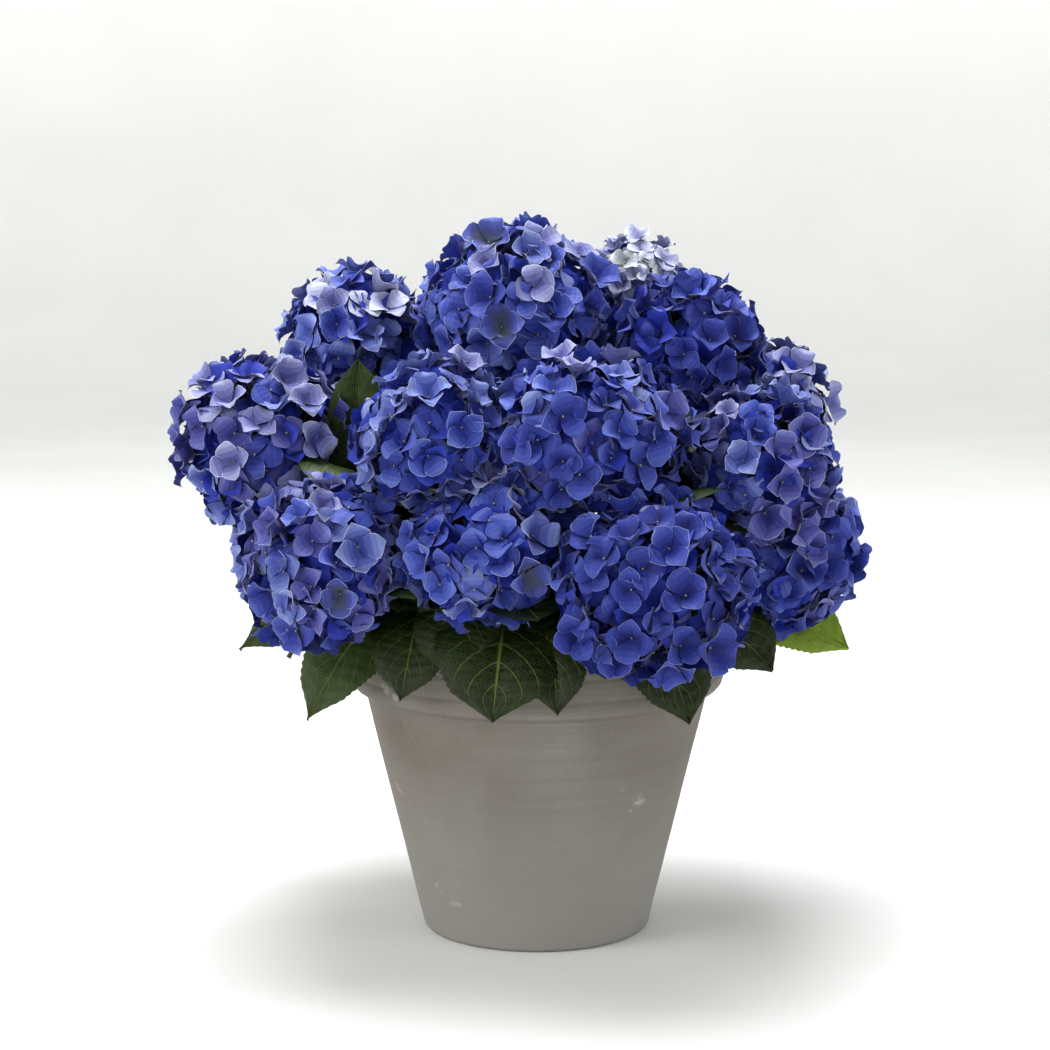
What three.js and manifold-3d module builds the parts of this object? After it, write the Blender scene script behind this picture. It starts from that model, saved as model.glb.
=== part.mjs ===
// Hydrangea shrub in its clay pot, in millimetres, +Z up.
// The origin is the middle of the pot's flat underside.
// Each shoot is a woody bough, a leafy green stem and a domed flower head, set end to end.

import * as THREE from 'three';
import { mergeVertices } from 'three/addons/utils/BufferGeometryUtils.js';
import Module from 'manifold-3d';

const wasm = await Module();
wasm.setup();

// Driving dimensions

const seed = 29;
const gap = 0.3; // clearance between pieces that meet

const pot = {
  height: 250,
  footRadius: 90.4,
  footRound: 5,
  shoulderRadius: 138, // where the wall meets the rim band
  shoulderHeight: 196.5,
  bandRadius: 150,
  bandRound: 4,
  shelf: [[7, 2.5], [10.5, 8.5]], // underside of the band, out and up from the shoulder
  lip: 2, // slope of the rim's inner edge, in and down
  grooveHeights: [212, 229],
  grooveDepth: 1.2,
  grooveHalf: 1.6,
  wall: 11.3,
  floor: 14,
  sides: 40,
};
const compost = { edgeHeight: 221, middleHeight: 226, flatRadius: 45 };
const rootCrown = { radius: 30, collar: 5, height: 28, footRadius: 24, ringAngles: [0, 30, 58], sides: 12 };

const bough = { rootRadius: 4.6, tipRadius: 3.3, sides: 5, steps: 4, seat: 2.5, socket: 8 };
const greenStem = { radius: 3.2, tipRadius: 2.7, sides: 5, steps: 3 };
const stalk = { radius: 2.7, length: 15, sides: 5 };
const heart = new THREE.Vector3(0, 0, 230); // the shoots fan out from here
const bend = 0.42; // how long a shoot keeps its last direction, of its own length
const leafyFrom = 0.5; // share of a shoot that is bare wood

const head = {
  core: 0.8, // core radius as a share of the outer radius
  under: 0.75, // depth below the widest ring as a share of the dome
  floretHeights: [0.93, 1],
  tipReach: [0.84, 0.9], // how far a sepal tip reaches to its cell's corner
  notchReach: 0.62,
  notchHeight: 0.94,
  closedBelow: -0.6, // cells that face further down than this stay plain
  softFrom: 0.6, // share of its room from which a head is pressed in by its neighbour
  largeFrom: 150, // heads this wide have three florets across, others two
};

const leaf = {
  thickness: 2.4,
  fold: 0.16, // rise of the edges as a share of the width
  widthShares: [0, 0.09, 0.84, 1, 0.62, 0], // along the leaf, from its stalk to its tip
  sides: 4,
  tries: 13,
  liftStep: 5,
};

// Flower heads: centre of the widest ring, width, height as seen from outside, and dome.
// leafy shoots list their rim leaves as [bearing, reach from the pot's axis, tip height].
const shoots = [
  { at: [-17, -5, 494], across: 168, tall: 156, dome: 77 },
  { at: [-150, 62, 468], across: 120, tall: 114, dome: 58 },
  { at: [-209, -32, 395], across: 146, tall: 144, dome: 78, leafy: [] },
  { at: [-160, -116, 318], across: 144, tall: 138, dome: 66,
    leafy: [[194, 240, 238], [211, 206, 190], [235, 178, 220]] },
  { at: [-79, -118, 413], across: 136, tall: 124, dome: 60, leafy: [] },
  { at: [-38, -156, 334], across: 128, tall: 116, dome: 57,
    leafy: [[261, 184, 213], [272, 176, 213], [247, 166, 238]] },
  { at: [36, -136, 412], across: 168, tall: 142, dome: 66, leafy: [] },
  { at: [86, -178, 309], across: 176, tall: 142, dome: 68,
    leafy: [[304, 190, 199], [331, 202, 226], [288, 168, 234]] },
  { at: [118, -22, 466], across: 126, tall: 126, dome: 64, leafy: [] },
  { at: [78, 76, 506], across: 94, tall: 90, dome: 48 },
  { at: [168, -82, 386], across: 130, tall: 132, dome: 62, leafy: [] },
  { at: [191, -36, 309], across: 134, tall: 122, dome: 71, leafy: [[350, 244, 232], [12, 200, 220]] },
  { at: [188, 60, 410], across: 108, tall: 108, dome: 55, leafy: [] },
  { at: [-48, 132, 456], across: 148, tall: 146, dome: 72, leafy: [] },
  { at: [84, 160, 404], across: 166, tall: 158, dome: 74, leafy: [] },
  { at: [-152, 138, 374], across: 162, tall: 156, dome: 76, leafy: [] },
  { at: [-34, 196, 334], across: 160, tall: 150, dome: 72, leafy: [[78, 192, 214], [98, 186, 208]] },
  { at: [174, 122, 314], across: 148, tall: 148, dome: 72, leafy: [[35, 208, 226], [55, 194, 212]] },
  { at: [-142, 176, 276], across: 136, tall: 124, dome: 60, leafy: [[118, 190, 206], [146, 204, 222]] },
  { at: [-182, 74, 296], across: 140, tall: 136, dome: 66, leafy: [[164, 226, 232], [180, 200, 218]] },
];

// Leaves inside the crown, by rule: pairs that stand round their stem
const innerLeaf = {
  rows: [{ share: 0.85, spread: 48 }, { share: 0.55, spread: 128 }],
  length: [78, 96],
  width: 0.62,
  drop: [-8, 14],
  lift: 14,
};
const rimLeaf = { firstShare: 0.25, shareStep: 0.2, width: 0.6, lift: 26 };

const finish = {
  pot: { color: 0x8d8780, roughness: 0.9, metalness: 0 },
  compost: { color: 0x2e2219, roughness: 1, metalness: 0 },
  wood: { color: 0x6f5a44, roughness: 0.85, metalness: 0 },
  leaf: { color: 0x2c4a22, roughness: 0.5, metalness: 0 },
  blossom: { color: 0x3b4bb8, roughness: 0.6, metalness: 0 },
};

// Helpers

const up = new THREE.Vector3(0, 0, 1);
const vec = (x, y, z) => new THREE.Vector3(x, y, z);
const mix = THREE.MathUtils.lerp;

let state = seed;
function random() {
  state = (state * 1664525 + 1013904223) % 4294967296;
  return state / 4294967296;
}
const between = ([low, high]) => mix(low, high, random());

// Point at a bearing round the pot's axis, in degrees from +X
function around(bearing, radius, z) {
  const angle = THREE.MathUtils.degToRad(bearing);
  return vec(radius * Math.cos(angle), radius * Math.sin(angle), z);
}

// The geometry's own points, joined where they coincide
function joined(geometry) {
  geometry.deleteAttribute('normal');
  geometry.deleteAttribute('uv');
  return mergeVertices(geometry, 1e-4);
}

// Closed solid from a geometry, with every point moved by place
function solidOf(geometry, place = (point) => point) {
  const bare = joined(geometry);
  const points = bare.attributes.position;
  const moved = [];
  for (let i = 0; i < points.count; i += 1) {
    moved.push(...place(vec().fromBufferAttribute(points, i)).toArray());
  }
  const faces = [];
  const index = bare.index.array;
  for (let i = 0; i < index.length; i += 3) {
    const [a, b, c] = [index[i], index[i + 1], index[i + 2]];
    if (a !== b && b !== c && c !== a) faces.push(a, b, c);
  }
  return solidFrom(moved, faces);
}

function solidFrom(points, faces) {
  return new wasm.Manifold(new wasm.Mesh({
    numProp: 3,
    vertProperties: new Float32Array(points),
    triVerts: new Uint32Array(faces),
  }));
}

function meshOf(name, solid, look) {
  const { vertProperties, triVerts } = solid.getMesh();
  const geometry = new THREE.BufferGeometry();
  geometry.setAttribute('position', new THREE.BufferAttribute(new Float32Array(vertProperties), 3));
  geometry.setIndex(new THREE.BufferAttribute(new Uint32Array(triVerts), 1));
  geometry.computeVertexNormals();
  const mesh = new THREE.Mesh(geometry, new THREE.MeshStandardMaterial(look));
  mesh.name = name;
  return mesh;
}

const fuse = (solids) => solids.reduce((whole, piece) => whole.add(piece));
const touches = (solid, others) => others.some((other) => solid.intersect(other).numTri() > 0);

// Sideways and facing directions of a ribbon that runs along a direction
function frameAlong(direction) {
  const side = vec().crossVectors(direction, up).normalize();
  const face = vec().crossVectors(side, direction).normalize();
  return { side, face };
}

// Tapering limb along a curve, between two shares of its length
function limb(curve, from, to, rootRadius, tipRadius, { sides, steps }) {
  const tube = new THREE.CylinderGeometry(1, 1, 1, sides, steps);
  return solidOf(tube, (point) => {
    const along = point.y + 0.5;
    const share = mix(from, to, along);
    const { side, face } = frameAlong(curve.getTangentAt(share));
    const radius = mix(rootRadius, tipRadius, along);
    return curve.getPointAt(share)
      .addScaledVector(side, radius * point.x)
      .addScaledVector(face, radius * point.z);
  });
}

// Pot, compost and root crown

function wallRadius(z) {
  return mix(pot.footRadius, pot.shoulderRadius, z / pot.shoulderHeight);
}
const insideRadius = (z) => wallRadius(z) - pot.wall;
const wallLean = THREE.MathUtils.radToDeg(
  Math.atan2(pot.shoulderRadius - pot.footRadius, pot.shoulderHeight));

// A rounded corner as a few points of a quarter turn
function corner(x, z, radius, fromAngle, toAngle) {
  const steps = 2;
  const points = [];
  for (let i = 0; i <= steps; i += 1) {
    const angle = THREE.MathUtils.degToRad(mix(fromAngle, toAngle, i / steps));
    points.push(new THREE.Vector2(x + radius * Math.cos(angle), z + radius * Math.sin(angle)));
  }
  return points;
}

function lathe(points, sides) {
  return solidOf(new THREE.LatheGeometry(points, sides), (point) => vec(point.x, -point.z, point.y));
}

function makePot() {
  const { footRound, bandRadius, bandRound, grooveDepth, grooveHalf, height } = pot;
  const footCentre = wallRadius(footRound) - footRound;
  const profile = [new THREE.Vector2(0, 0)];
  profile.push(...corner(footCentre, footRound, footRound, -90, -wallLean));
  profile.push(new THREE.Vector2(pot.shoulderRadius, pot.shoulderHeight));
  for (const [out, rise] of pot.shelf) {
    profile.push(new THREE.Vector2(pot.shoulderRadius + out, pot.shoulderHeight + rise));
  }
  for (const z of pot.grooveHeights) {
    profile.push(new THREE.Vector2(bandRadius, z - grooveHalf));
    profile.push(new THREE.Vector2(bandRadius - grooveDepth, z));
    profile.push(new THREE.Vector2(bandRadius, z + grooveHalf));
  }
  profile.push(...corner(bandRadius - bandRound, height - bandRound, bandRound, 0, 90));
  profile.push(new THREE.Vector2(insideRadius(height) + pot.lip, height));
  profile.push(new THREE.Vector2(insideRadius(height - pot.lip), height - pot.lip));
  profile.push(new THREE.Vector2(insideRadius(pot.floor), pot.floor));
  profile.push(new THREE.Vector2(0, pot.floor));
  return lathe(profile, pot.sides);
}

function makeCompost() {
  const low = pot.floor + gap;
  const profile = [
    new THREE.Vector2(0, low),
    new THREE.Vector2(insideRadius(low) - 2 * gap, low),
    new THREE.Vector2(insideRadius(compost.edgeHeight) - 2 * gap, compost.edgeHeight),
    new THREE.Vector2(compost.flatRadius, compost.middleHeight),
    new THREE.Vector2(0, compost.middleHeight),
  ];
  return lathe(profile, pot.sides);
}

// Low woody clump with a flat cut under it and a socket for the root of each bough
const crownFoot = compost.middleHeight + gap;
function makeRootCrown() {
  const profile = [new THREE.Vector2(0, crownFoot), new THREE.Vector2(rootCrown.footRadius, crownFoot)];
  const domeFoot = crownFoot + rootCrown.collar;
  const domeHeight = rootCrown.height - rootCrown.collar;
  for (const angle of rootCrown.ringAngles) {
    const turn = THREE.MathUtils.degToRad(angle);
    profile.push(new THREE.Vector2(
      rootCrown.radius * Math.cos(turn), domeFoot + domeHeight * Math.sin(turn)));
  }
  profile.push(new THREE.Vector2(0, domeFoot + domeHeight));
  return paths.reduce(
    (clump, path) => clump.subtract(boughSocket(path)), lathe(profile, rootCrown.sides));
}

function boughSocket({ curve }) {
  const run = curve.getTangentAt(0);
  const bottom = curve.getPointAt(0).addScaledVector(run, -gap);
  const mouth = bottom.clone().addScaledVector(run, bough.socket);
  const radius = bough.rootRadius + gap;
  return limb(new THREE.LineCurve3(bottom, mouth), 0, 1, radius, radius, { sides: bough.sides, steps: 1 });
}

// Shoots

// Path of a shoot, from the root crown to the foot of its flower stalk
function shootPath({ at, dome }) {
  const centre = vec(...at);
  const axis = centre.clone().sub(heart).normalize();
  const start = vec(
    rootCrown.radius * axis.x,
    rootCrown.radius * axis.y,
    crownFoot + rootCrown.collar + (rootCrown.height - rootCrown.collar) * axis.z);
  start.addScaledVector(axis, -bough.seat);
  const end = centre.clone().addScaledVector(axis, -head.under * dome - stalk.length);
  const reach = start.distanceTo(end);
  const knee = end.clone().addScaledVector(axis, -bend * reach);
  return { axis, centre, end, curve: new THREE.QuadraticBezierCurve3(start, knee, end) };
}

// Half sizes of a flower head along its own three directions
function headFrame({ across, tall, dome }, { axis }) {
  const side = vec().crossVectors(up, axis).normalize();
  const face = vec().crossVectors(axis, side).normalize();
  return { side, face, axis, halfAcross: across / 2, halfTall: tall / 2, dome };
}

// How far a flower head reaches from its centre in a direction
function headReach(frame, direction) {
  const deep = direction.dot(frame.axis);
  return 1 / Math.hypot(
    direction.dot(frame.side) / frame.halfAcross,
    direction.dot(frame.face) / frame.halfTall,
    deep / (deep > 0 ? frame.dome : head.under * frame.dome));
}

// Where a head presses on its neighbours, each pair shares the room between their centres
function roomOf(i) {
  const frame = headFrame(shoots[i], paths[i]);
  const room = [];
  shoots.forEach((other, k) => {
    if (k === i) return;
    const toward = paths[k].centre.clone().sub(paths[i].centre);
    const distance = toward.length();
    toward.normalize();
    const own = headReach(frame, toward);
    const theirs = headReach(headFrame(other, paths[k]), toward.clone().negate());
    if (own + theirs > distance - gap) {
      room.push({ toward, limit: distance * own / (own + theirs) - gap });
    }
  });
  return room;
}

function pressIn(point, centre, room) {
  for (const { toward, limit } of room) {
    const soft = head.softFrom * limit;
    const out = point.clone().sub(centre).dot(toward);
    if (out <= soft) continue;
    const kept = limit - (limit - soft) * Math.exp((soft - out) / (limit - soft));
    point.addScaledVector(toward, kept - out);
  }
  return point;
}

// Domed flower head: a core whose every cell but the lowest ones opens into a four-lobed floret
function makeHead(i) {
  const { across, dome } = shoots[i];
  const { axis, centre, end } = paths[i];
  const { side, face, halfAcross, halfTall } = headFrame(shoots[i], paths[i]);
  const room = roomOf(i);
  const place = (direction, scale) => {
    const deep = direction.z > 0 ? dome : head.under * dome;
    const point = centre.clone()
      .addScaledVector(side, scale * halfAcross * direction.x)
      .addScaledVector(face, scale * halfTall * direction.y)
      .addScaledVector(axis, scale * deep * direction.z);
    return pressIn(point, centre, room);
  };
  const cells = across >= head.largeFrom ? 3 : 2;
  const grid = joined(new THREE.BoxGeometry(2, 2, 2, cells, cells, 2));
  const corners = [];
  const points = [];
  for (let i = 0; i < grid.attributes.position.count; i += 1) {
    // the tangent spreads the box's cells evenly over the ball
    const spread = vec().fromBufferAttribute(grid.attributes.position, i).toArray()
      .map((value) => Math.tan(value * Math.PI / 4));
    const direction = vec(...spread).normalize();
    corners.push(direction);
    points.push(place(direction, head.core));
  }
  const faces = [];
  const index = grid.index.array;
  for (let i = 0; i < index.length; i += 6) {
    const cell = [index[i], index[i + 1], index[i + 4], index[i + 2]];
    const middle = cell.reduce((sum, id) => sum.add(corners[id]), vec()).normalize();
    if (middle.z < head.closedBelow) faces.push(cell[0], cell[1], cell[3], cell[1], cell[2], cell[3]);
    else openFloret(cell, middle, corners, points, faces, place);
  }
  const core = solidFrom(points.flatMap((point) => point.toArray()), faces);
  const stem = new THREE.LineCurve3(end.clone().addScaledVector(axis, gap), centre);
  return fuse([core, limb(stem, 0, 1, stalk.radius, stalk.radius, { sides: stalk.sides, steps: 1 })]);
}

// Four flaring sides from the cell's corners, then four sepals round a sunken middle
function openFloret(cell, middle, corners, points, faces, place) {
  const height = between(head.floretHeights);
  const reach = between(head.tipReach);
  const tips = [];
  const notches = [];
  for (let k = 0; k < 4; k += 1) {
    const here = corners[cell[k]];
    const next = corners[cell[(k + 1) % 4]];
    const edge = here.clone().add(next).normalize();
    tips.push(points.push(place(middle.clone().lerp(here, reach).normalize(), height)) - 1);
    const notch = middle.clone().lerp(edge, head.notchReach).normalize();
    notches.push(points.push(place(notch, height * head.notchHeight)) - 1);
  }
  for (let k = 0; k < 4; k += 1) {
    const after = (k + 1) % 4;
    const before = (k + 3) % 4;
    faces.push(cell[k], cell[after], notches[k]);
    faces.push(cell[k], notches[k], tips[k]);
    faces.push(cell[after], tips[after], notches[k]);
    faces.push(tips[k], notches[k], notches[before]);
  }
  faces.push(notches[0], notches[1], notches[3], notches[1], notches[2], notches[3]);
}

// One leaf blade along an arch from its root to its tip
function makeLeaf(root, tip, lift, width) {
  const knee = root.clone().lerp(tip, 0.5).addScaledVector(up, lift);
  const arch = new THREE.QuadraticBezierCurve3(root, knee, tip);
  const steps = leaf.widthShares.length - 1;
  return solidOf(new THREE.SphereGeometry(1, leaf.sides, steps), (point) => {
    const row = Math.round(steps * Math.acos(THREE.MathUtils.clamp(point.y, -1, 1)) / Math.PI);
    const share = row / steps;
    const { side, face } = frameAlong(arch.getTangentAt(share));
    const half = width / 2 * leaf.widthShares[row];
    const ring = Math.hypot(point.x, point.z) || 1;
    const across = point.x / ring;
    const rise = leaf.fold * half * Math.abs(across) + leaf.thickness / 2 * point.z / ring;
    const open = row > 0 && row < steps ? 1 : 0;
    return arch.getPointAt(share)
      .addScaledVector(side, -half * across)
      .addScaledVector(face, open * rise);
  });
}

// Roots and tips of the leaves that one shoot carries
function leafPlan({ leafy }, { curve }) {
  const plan = [];
  leafy.forEach(([bearing, reach, tipHeight], k) => {
    const root = curve.getPointAt(mix(leafyFrom, 1, rimLeaf.firstShare + rimLeaf.shareStep * k));
    const tip = around(bearing, reach, tipHeight);
    plan.push({ root, tip, width: rimLeaf.width * root.distanceTo(tip), lift: rimLeaf.lift });
  });
  for (const { share, spread } of innerLeaf.rows) {
    const root = curve.getPointAt(mix(leafyFrom, 1, share));
    const run = curve.getTangentAt(mix(leafyFrom, 1, share));
    const heading = Math.atan2(run.y, run.x);
    for (const hand of [-1, 1]) {
      const angle = heading + hand * THREE.MathUtils.degToRad(spread);
      const length = between(innerLeaf.length);
      const tip = root.clone().add(vec(
        length * Math.cos(angle), length * Math.sin(angle), between(innerLeaf.drop)));
      plan.push({ root, tip, width: innerLeaf.width * length, lift: innerLeaf.lift });
    }
  }
  return plan;
}

function makeStem({ curve }) {
  return limb(curve, leafyFrom, 1, greenStem.radius, greenStem.tipRadius, greenStem);
}

// Leaves fused on their green stem; one that would touch anything arches more or less, or is left off
function makeLeaves(i, stems, placed) {
  const others = [...placed, ...stems.filter((stem, k) => stem && k !== i)];
  const kept = [];
  for (const { root, tip, width, lift } of leafPlan(shoots[i], paths[i])) {
    for (let attempt = 0; attempt < leaf.tries; attempt += 1) {
      const change = (attempt % 2 ? 1 : -1) * Math.ceil(attempt / 2) * leaf.liftStep;
      const blade = makeLeaf(root, tip, lift + change, width);
      if (touches(blade, others)) continue;
      kept.push(blade);
      break;
    }
  }
  return fuse([stems[i], ...kept]);
}

// The whole plant

const group = new THREE.Group();
const solids = [];
function keep(name, solid, look) {
  solids.push(solid);
  group.add(meshOf(name, solid, look));
}
const numbered = (name, i) => `${name}_${String(i + 1).padStart(2, '0')}`;

const paths = shoots.map(shootPath);
keep('pot', makePot(), finish.pot);
keep('compost', makeCompost(), finish.compost);
keep('root_crown', makeRootCrown(), finish.wood);
shoots.forEach((shoot, i) => {
  const { curve } = paths[i];
  const to = shoot.leafy ? leafyFrom - gap / curve.getLength() : 1;
  keep(numbered('bough', i),
    limb(curve, 0, to, bough.rootRadius, bough.tipRadius, bough), finish.wood);
  keep(numbered('flower_head', i), makeHead(i), finish.blossom);
});
const stems = shoots.map((shoot, i) => (shoot.leafy ? makeStem(paths[i]) : null));
shoots.forEach((shoot, i) => {
  if (shoot.leafy) keep(numbered('leaves', i), makeLeaves(i, stems, solids), finish.leaf);
});

export default group;
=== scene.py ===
import math
import random

import bmesh
import bpy
from mathutils import Matrix, Vector, noise


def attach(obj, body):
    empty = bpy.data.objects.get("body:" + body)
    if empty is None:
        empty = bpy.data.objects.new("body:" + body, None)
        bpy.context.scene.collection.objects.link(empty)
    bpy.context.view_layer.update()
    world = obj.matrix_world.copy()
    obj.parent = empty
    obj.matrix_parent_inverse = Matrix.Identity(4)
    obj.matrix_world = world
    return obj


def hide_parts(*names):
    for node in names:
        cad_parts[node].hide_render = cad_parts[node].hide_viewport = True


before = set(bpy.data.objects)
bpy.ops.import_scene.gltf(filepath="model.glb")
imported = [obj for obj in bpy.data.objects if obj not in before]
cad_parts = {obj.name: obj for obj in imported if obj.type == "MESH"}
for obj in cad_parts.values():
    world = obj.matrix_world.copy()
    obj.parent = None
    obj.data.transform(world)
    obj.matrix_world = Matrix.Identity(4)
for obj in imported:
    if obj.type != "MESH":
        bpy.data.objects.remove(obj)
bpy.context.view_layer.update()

random.seed(29)
up = Vector((0, 0, 1))


# Small helpers

def mix(a, b, share):
    return a + (b - a) * share


def between(low, high):
    return random.uniform(low, high)


def rgb(red, green, blue):
    # screen colour, 0 to 255, as the linear colour that shaders take
    parts = [c / 255 for c in (red, green, blue)]
    return tuple(c / 12.92 if c < 0.04 else ((c + 0.055) / 1.055) ** 2.4 for c in parts) + (1,)


def around(bearing, radius, z):
    angle = math.radians(bearing)
    return Vector((radius * math.cos(angle), radius * math.sin(angle), z))


def anyWay():
    return Vector([between(-1, 1) for k in range(3)])


def addObject(name, data):
    made = bpy.data.objects.new(name, data)
    bpy.context.scene.collection.objects.link(made)
    return made


# Camera, soft light and a pale studio bowl

view = {
    "place": (0, -2.367, 0.698),
    "pitch": 81.07,        # degrees from straight down
    "turn": 0.225,
    "lens": 102.9,
    "sensor": 36,
    "reach": 50,
}


def addCamera():
    data = bpy.data.cameras.new("camera")
    data.lens = view["lens"]
    data.sensor_width = view["sensor"]
    data.clip_end = view["reach"]
    camera = addObject("camera", data)
    camera.location = view["place"]
    camera.rotation_euler = (math.radians(view["pitch"]), 0, math.radians(view["turn"]))
    bpy.context.scene.camera = camera


studio = {
    "sky": (0.9, 0.95, 1.0),
    "skyStrength": 0.35,
    "lamps": {             # place, side in metres, watts, colour
        "high_back": ((-0.1, 0.5, 2.8), 1.8, 115, (0.97, 0.98, 1)),
        "left_front": ((-2.5, -1.5, 2.0), 1.8, 46, (1, 0.99, 0.97)),
        "right_front": ((2.2, -1.6, 1.3), 1.8, 10, (0.97, 0.98, 1)),
    },
    "aim": (0, 0, 0.3),
    "bowlRadius": 5.0,
    "bowlBend": 1.6,
    "bowlHeight": 4.0,
    "bowlSteps": 64,
    "bendSteps": 12,
    "glow": 0.42,          # of the bowl's wall, in full from glowHeight upwards
    "glowHeight": 1.2,
}


def addLight():
    world = bpy.data.worlds.new("studio")
    world.use_nodes = True
    sky = world.node_tree.nodes["Background"]
    sky.inputs["Color"].default_value = studio["sky"] + (1,)
    sky.inputs["Strength"].default_value = studio["skyStrength"]
    bpy.context.scene.world = world
    for name, (place, side, watts, colour) in studio["lamps"].items():
        data = bpy.data.lights.new(name, "AREA")
        data.size = side
        data.energy = watts
        data.color = colour
        lamp = addObject(name, data)
        lamp.location = place
        lamp.rotation_euler = (Vector(studio["aim"]) - Vector(place)).to_track_quat("-Z", "Y").to_euler()
    bpy.context.scene.view_settings.view_transform = "Standard"


addCamera()
addLight()
print("camera and light ready")


# Shader nodes: one call makes a node or a chain of them, and gives back its outputs

def feed(tree, made, inputs):
    # sockets are linked in, other values are set
    for name, value in inputs.items():
        if isinstance(value, bpy.types.NodeSocket):
            tree.links.new(value, made.inputs[name])
        else:
            made.inputs[name].default_value = value
    return made.outputs


def node(tree, kind, inputs=None, **settings):
    made = tree.nodes.new("ShaderNode" + kind)
    for name, value in settings.items():
        setattr(made, name, value)
    return feed(tree, made, inputs or {})


def math2(tree, operation, a, b=0.0):
    return node(tree, "Math", {0: a, 1: b}, operation=operation)[0]


def ramp(tree, value, start, end, low=0.0, high=1.0):
    # runs from low to high while the value runs from start to end
    return node(tree, "MapRange", {
        "Value": value, "From Min": start, "From Max": end, "To Min": low, "To Max": high})[0]


def blendColour(tree, share, first, second):
    return node(tree, "Mix", {0: share, 6: first, 7: second}, data_type="RGBA")[2]


def layOver(tree, colour, mask, strength, over):
    # another colour over the first, where the mask is, at part of its strength
    return blendColour(tree, math2(tree, "MULTIPLY", mask, strength), colour, over)


def newGroup(name, inputs, outputs):
    group = bpy.data.node_groups.new(name, "ShaderNodeTree")
    for label, kind, default in inputs:
        socket = group.interface.new_socket(label, in_out="INPUT", socket_type=kind)
        if default is not None:
            socket.default_value = default
    for label, kind in outputs:
        group.interface.new_socket(label, in_out="OUTPUT", socket_type=kind)
    start = group.nodes.new("NodeGroupInput")
    end = group.nodes.new("NodeGroupOutput")
    return group, start.outputs, end.inputs


def useGroup(tree, name, inputs):
    made = tree.nodes.new("ShaderNodeGroup")
    made.node_tree = bpy.data.node_groups[name]
    return feed(tree, made, inputs)


def makeMottle():
    # soft patches between two levels, stretched as the caller likes
    group, given, out = newGroup("mottle", [
        ("Place", "NodeSocketVector", None), ("Stretch", "NodeSocketVector", (1, 1, 1)),
        ("Scale", "NodeSocketFloat", 20.0), ("Detail", "NodeSocketFloat", 3.0),
        ("From", "NodeSocketFloat", 0.35), ("To", "NodeSocketFloat", 0.65)],
        [("Patches", "NodeSocketFloat")])
    stretched = node(group, "VectorMath", {0: given["Place"], 1: given["Stretch"]}, operation="MULTIPLY")
    cloud = node(group, "TexNoise", {
        "Vector": stretched[0], "Scale": given["Scale"], "Detail": given["Detail"]})
    group.links.new(ramp(group, cloud["Fac"], given["From"], given["To"]), out["Patches"])


def makeGrain():
    # fine tooth of clay, bark and soil as a height
    group, given, out = newGroup("grain", [
        ("Place", "NodeSocketVector", None), ("Fine", "NodeSocketFloat", 900.0),
        ("Coarse", "NodeSocketFloat", 120.0), ("Share", "NodeSocketFloat", 0.5)],
        [("Height", "NodeSocketFloat")])
    fine = node(group, "TexNoise", {"Vector": given["Place"], "Scale": given["Fine"], "Detail": 2.0})
    coarse = node(group, "TexNoise", {"Vector": given["Place"], "Scale": given["Coarse"], "Detail": 4.0})
    height = node(group, "Mix", {0: given["Share"], 2: coarse["Fac"], 3: fine["Fac"]}, data_type="FLOAT")
    group.links.new(height[0], out["Height"])


def makeLeafVeins():
    # a midrib and side veins that lean towards the tip, on a blade whose map runs 0 to 1 across and along
    group, given, out = newGroup("leafVeins", [
        ("Map", "NodeSocketVector", None), ("Pairs", "NodeSocketFloat", 7.0),
        ("Lean", "NodeSocketFloat", 0.36), ("Arching", "NodeSocketFloat", 1.15),
        ("Width", "NodeSocketFloat", 0.05)],
        [("Veins", "NodeSocketFloat"), ("Network", "NodeSocketFloat")])
    parts = node(group, "SeparateXYZ", {0: given["Map"]})
    centred = math2(group, "SUBTRACT", math2(group, "MULTIPLY", parts[0], 2.0), 1.0)
    side = math2(group, "ABSOLUTE", centred)
    leaning = math2(group, "MULTIPLY", math2(group, "POWER", side, given["Arching"]), given["Lean"])
    phase = math2(group, "MULTIPLY", math2(group, "SUBTRACT", parts[1], leaning), given["Pairs"])
    offset = math2(group, "ABSOLUTE", math2(group, "SUBTRACT", math2(group, "FRACT", phase), 0.5))
    sideVein = ramp(group, offset, given["Width"], 0.012)
    fading = ramp(group, side, 0.98, 0.55)
    rib = ramp(group, side, ramp(group, parts[1], 0.0, 1.0, 0.045, 0.03), 0.008)
    veins = math2(group, "MAXIMUM", math2(group, "MULTIPLY", sideVein, fading), rib)
    group.links.new(veins, out["Veins"])
    # the network's cells are longer than they are wide, as on the leaf itself
    flat = node(group, "CombineXYZ", {
        0: math2(group, "MULTIPLY", centred, 9.0), 1: math2(group, "MULTIPLY", parts[1], 22.0)})
    cells = node(group, "TexVoronoi", {"Vector": flat[0], "Scale": 1.6}, feature="DISTANCE_TO_EDGE")
    group.links.new(ramp(group, cells["Distance"], 0.12, 0.0), out["Network"])


def makeSepalVeins():
    # fine lines that fan out of a sepal's base, as a height
    group, given, out = newGroup("sepalVeins", [
        ("Map", "NodeSocketVector", None), ("Lines", "NodeSocketFloat", 26.0)],
        [("Height", "NodeSocketFloat")])
    parts = node(group, "SeparateXYZ", {0: given["Map"]})
    wander = node(group, "TexNoise", {"Vector": given["Map"], "Scale": 3.0, "Detail": 1.0})
    bent = math2(group, "ADD", parts[0], math2(group, "MULTIPLY", wander["Fac"], 0.12))
    ridges = math2(group, "SINE", math2(group, "MULTIPLY", bent, given["Lines"]))
    group.links.new(math2(group, "MULTIPLY", ridges, 0.5), out["Height"])


for make in (makeMottle, makeGrain, makeLeafVeins, makeSepalVeins):
    make()


def newMaterial(name):
    material = bpy.data.materials.new(name)
    material.use_nodes = True
    tree = material.node_tree
    return material, tree, tree.nodes["Principled BSDF"]


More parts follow.
